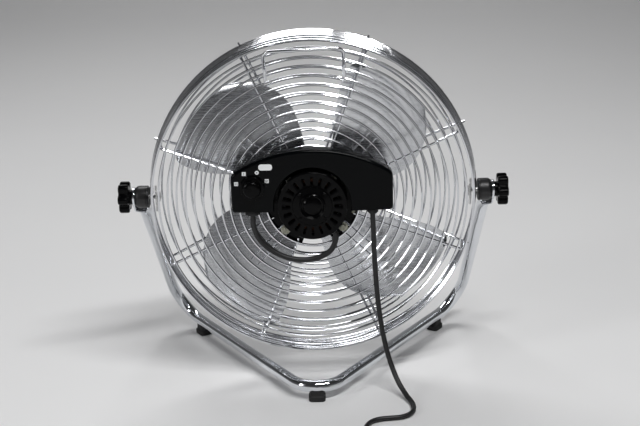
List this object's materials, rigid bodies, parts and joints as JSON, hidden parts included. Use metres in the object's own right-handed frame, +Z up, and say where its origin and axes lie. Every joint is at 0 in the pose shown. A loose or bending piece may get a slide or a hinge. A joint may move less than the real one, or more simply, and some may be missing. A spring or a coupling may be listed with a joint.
{
  "type": "desk fan",
  "caption": "Desk fan: a round wire guard with blades, motor and rear control box, tilting between the arms of a bent tube stand, with a carry handle and a power cord.",
  "frame": {"origin": "on the floor under the centre of the fan's bounding box, the free power cord left out", "axes": "+X across the fan, +Y the way the air goes, +Z up; the control box and the knob face -Y"},
  "size_m": [0.4112, 0.4001, 0.3755],
  "materials": {
    "stand_chrome": "polished chrome plate on tube",
    "guard_chrome": "bright plated wire",
    "foot_rubber": "matt moulded rubber",
    "black_paint": "black semi-gloss paint",
    "black_gloss": "smooth glossy black",
    "black_satin": "satin black",
    "black_rubber": "soft black",
    "cord_sleeve": "flexible black sleeve, satin",
    "plug_brass": "bright rolled brass",
    "zinc_steel": "zinc plated",
    "blade_aluminium": "bright rolled sheet",
    "winding_wire": "enamelled copper",
    "bearing_bronze": "porous bronze"
  },
  "bodies": {
    "stand": {"stand_tube": "stand_chrome", "foot_rear": "foot_rubber", "foot_left": "foot_rubber", "foot_right": "foot_rubber", "power_cord": "cord_sleeve", "cord_coil": "cord_sleeve", "plug_body": "cord_sleeve", "plug_blade_1": "plug_brass", "plug_blade_2": "plug_brass"},
    "head": {"rear_guard": "guard_chrome", "front_guard": "guard_chrome", "motor_rear_cover": "black_gloss", "control_box_cover": "black_gloss", "motor_front_cover": "black_paint", "mount_plate": "black_paint", "stator_winding": "winding_wire", "control_box_base": "black_satin", "stator_core": "zinc_steel", "carry_handle": "guard_chrome", "motor_lead": "cord_sleeve", "pivot_spacer_right": "black_satin", "pivot_spacer_left": "black_satin", "lead_gland": "black_rubber", "cord_gland": "black_rubber", "pivot_bolt_right": "zinc_steel", "rotary_switch": "black_satin", "pivot_bolt_left": "zinc_steel", "mount_screw_1": "zinc_steel", "mount_screw_2": "zinc_steel", "mount_screw_3": "zinc_steel", "mount_screw_4": "zinc_steel", "bearing_rear": "bearing_bronze", "bearing_front": "bearing_bronze", "pivot_bracket_right": "zinc_steel", "pivot_bracket_left": "zinc_steel", "run_capacitor": "black_satin"},
    "rotor": {"motor_shaft": "zinc_steel", "rotor_core": "zinc_steel", "blade_hub": "zinc_steel", "fan_blade": "blade_aluminium", "blade_nut": "black_satin"},
    "speed_knob": {"speed_knob": "black_gloss"},
    "clamp_knob_left": {"clamp_knob_left": "black_gloss"},
    "clamp_knob_right": {"clamp_knob_right": "black_gloss"}
  },
  "joints": [
    {"name": "head_tilt", "type": "hinge", "parent": "stand", "child": "head", "pos_m": [0, -0.0252, 0.202], "axis": [1, 0, 0], "range_deg": [-45, 90], "deforming": ["power_cord"]},
    {"name": "blade_spin", "type": "hinge", "parent": "head", "child": "rotor", "pos_m": [0, -0.0252, 0.202], "axis": [0, 1, 0], "continuous": true},
    {"name": "speed_turn", "type": "hinge", "parent": "head", "child": "speed_knob", "pos_m": [-0.061, -0.0728, 0.2226], "axis": [0, 1, 0], "range_deg": [0, 141]},
    {"name": "clamp_turn_left", "type": "hinge", "parent": "head", "child": "clamp_knob_left", "pos_m": [-0.1986, -0.0252, 0.202], "axis": [1, 0, 0], "range_deg": [-180, 180]},
    {"name": "clamp_turn_right", "type": "hinge", "parent": "head", "child": "clamp_knob_right", "pos_m": [0.1986, -0.0252, 0.202], "axis": [1, 0, 0], "range_deg": [-180, 180]}
  ]
}
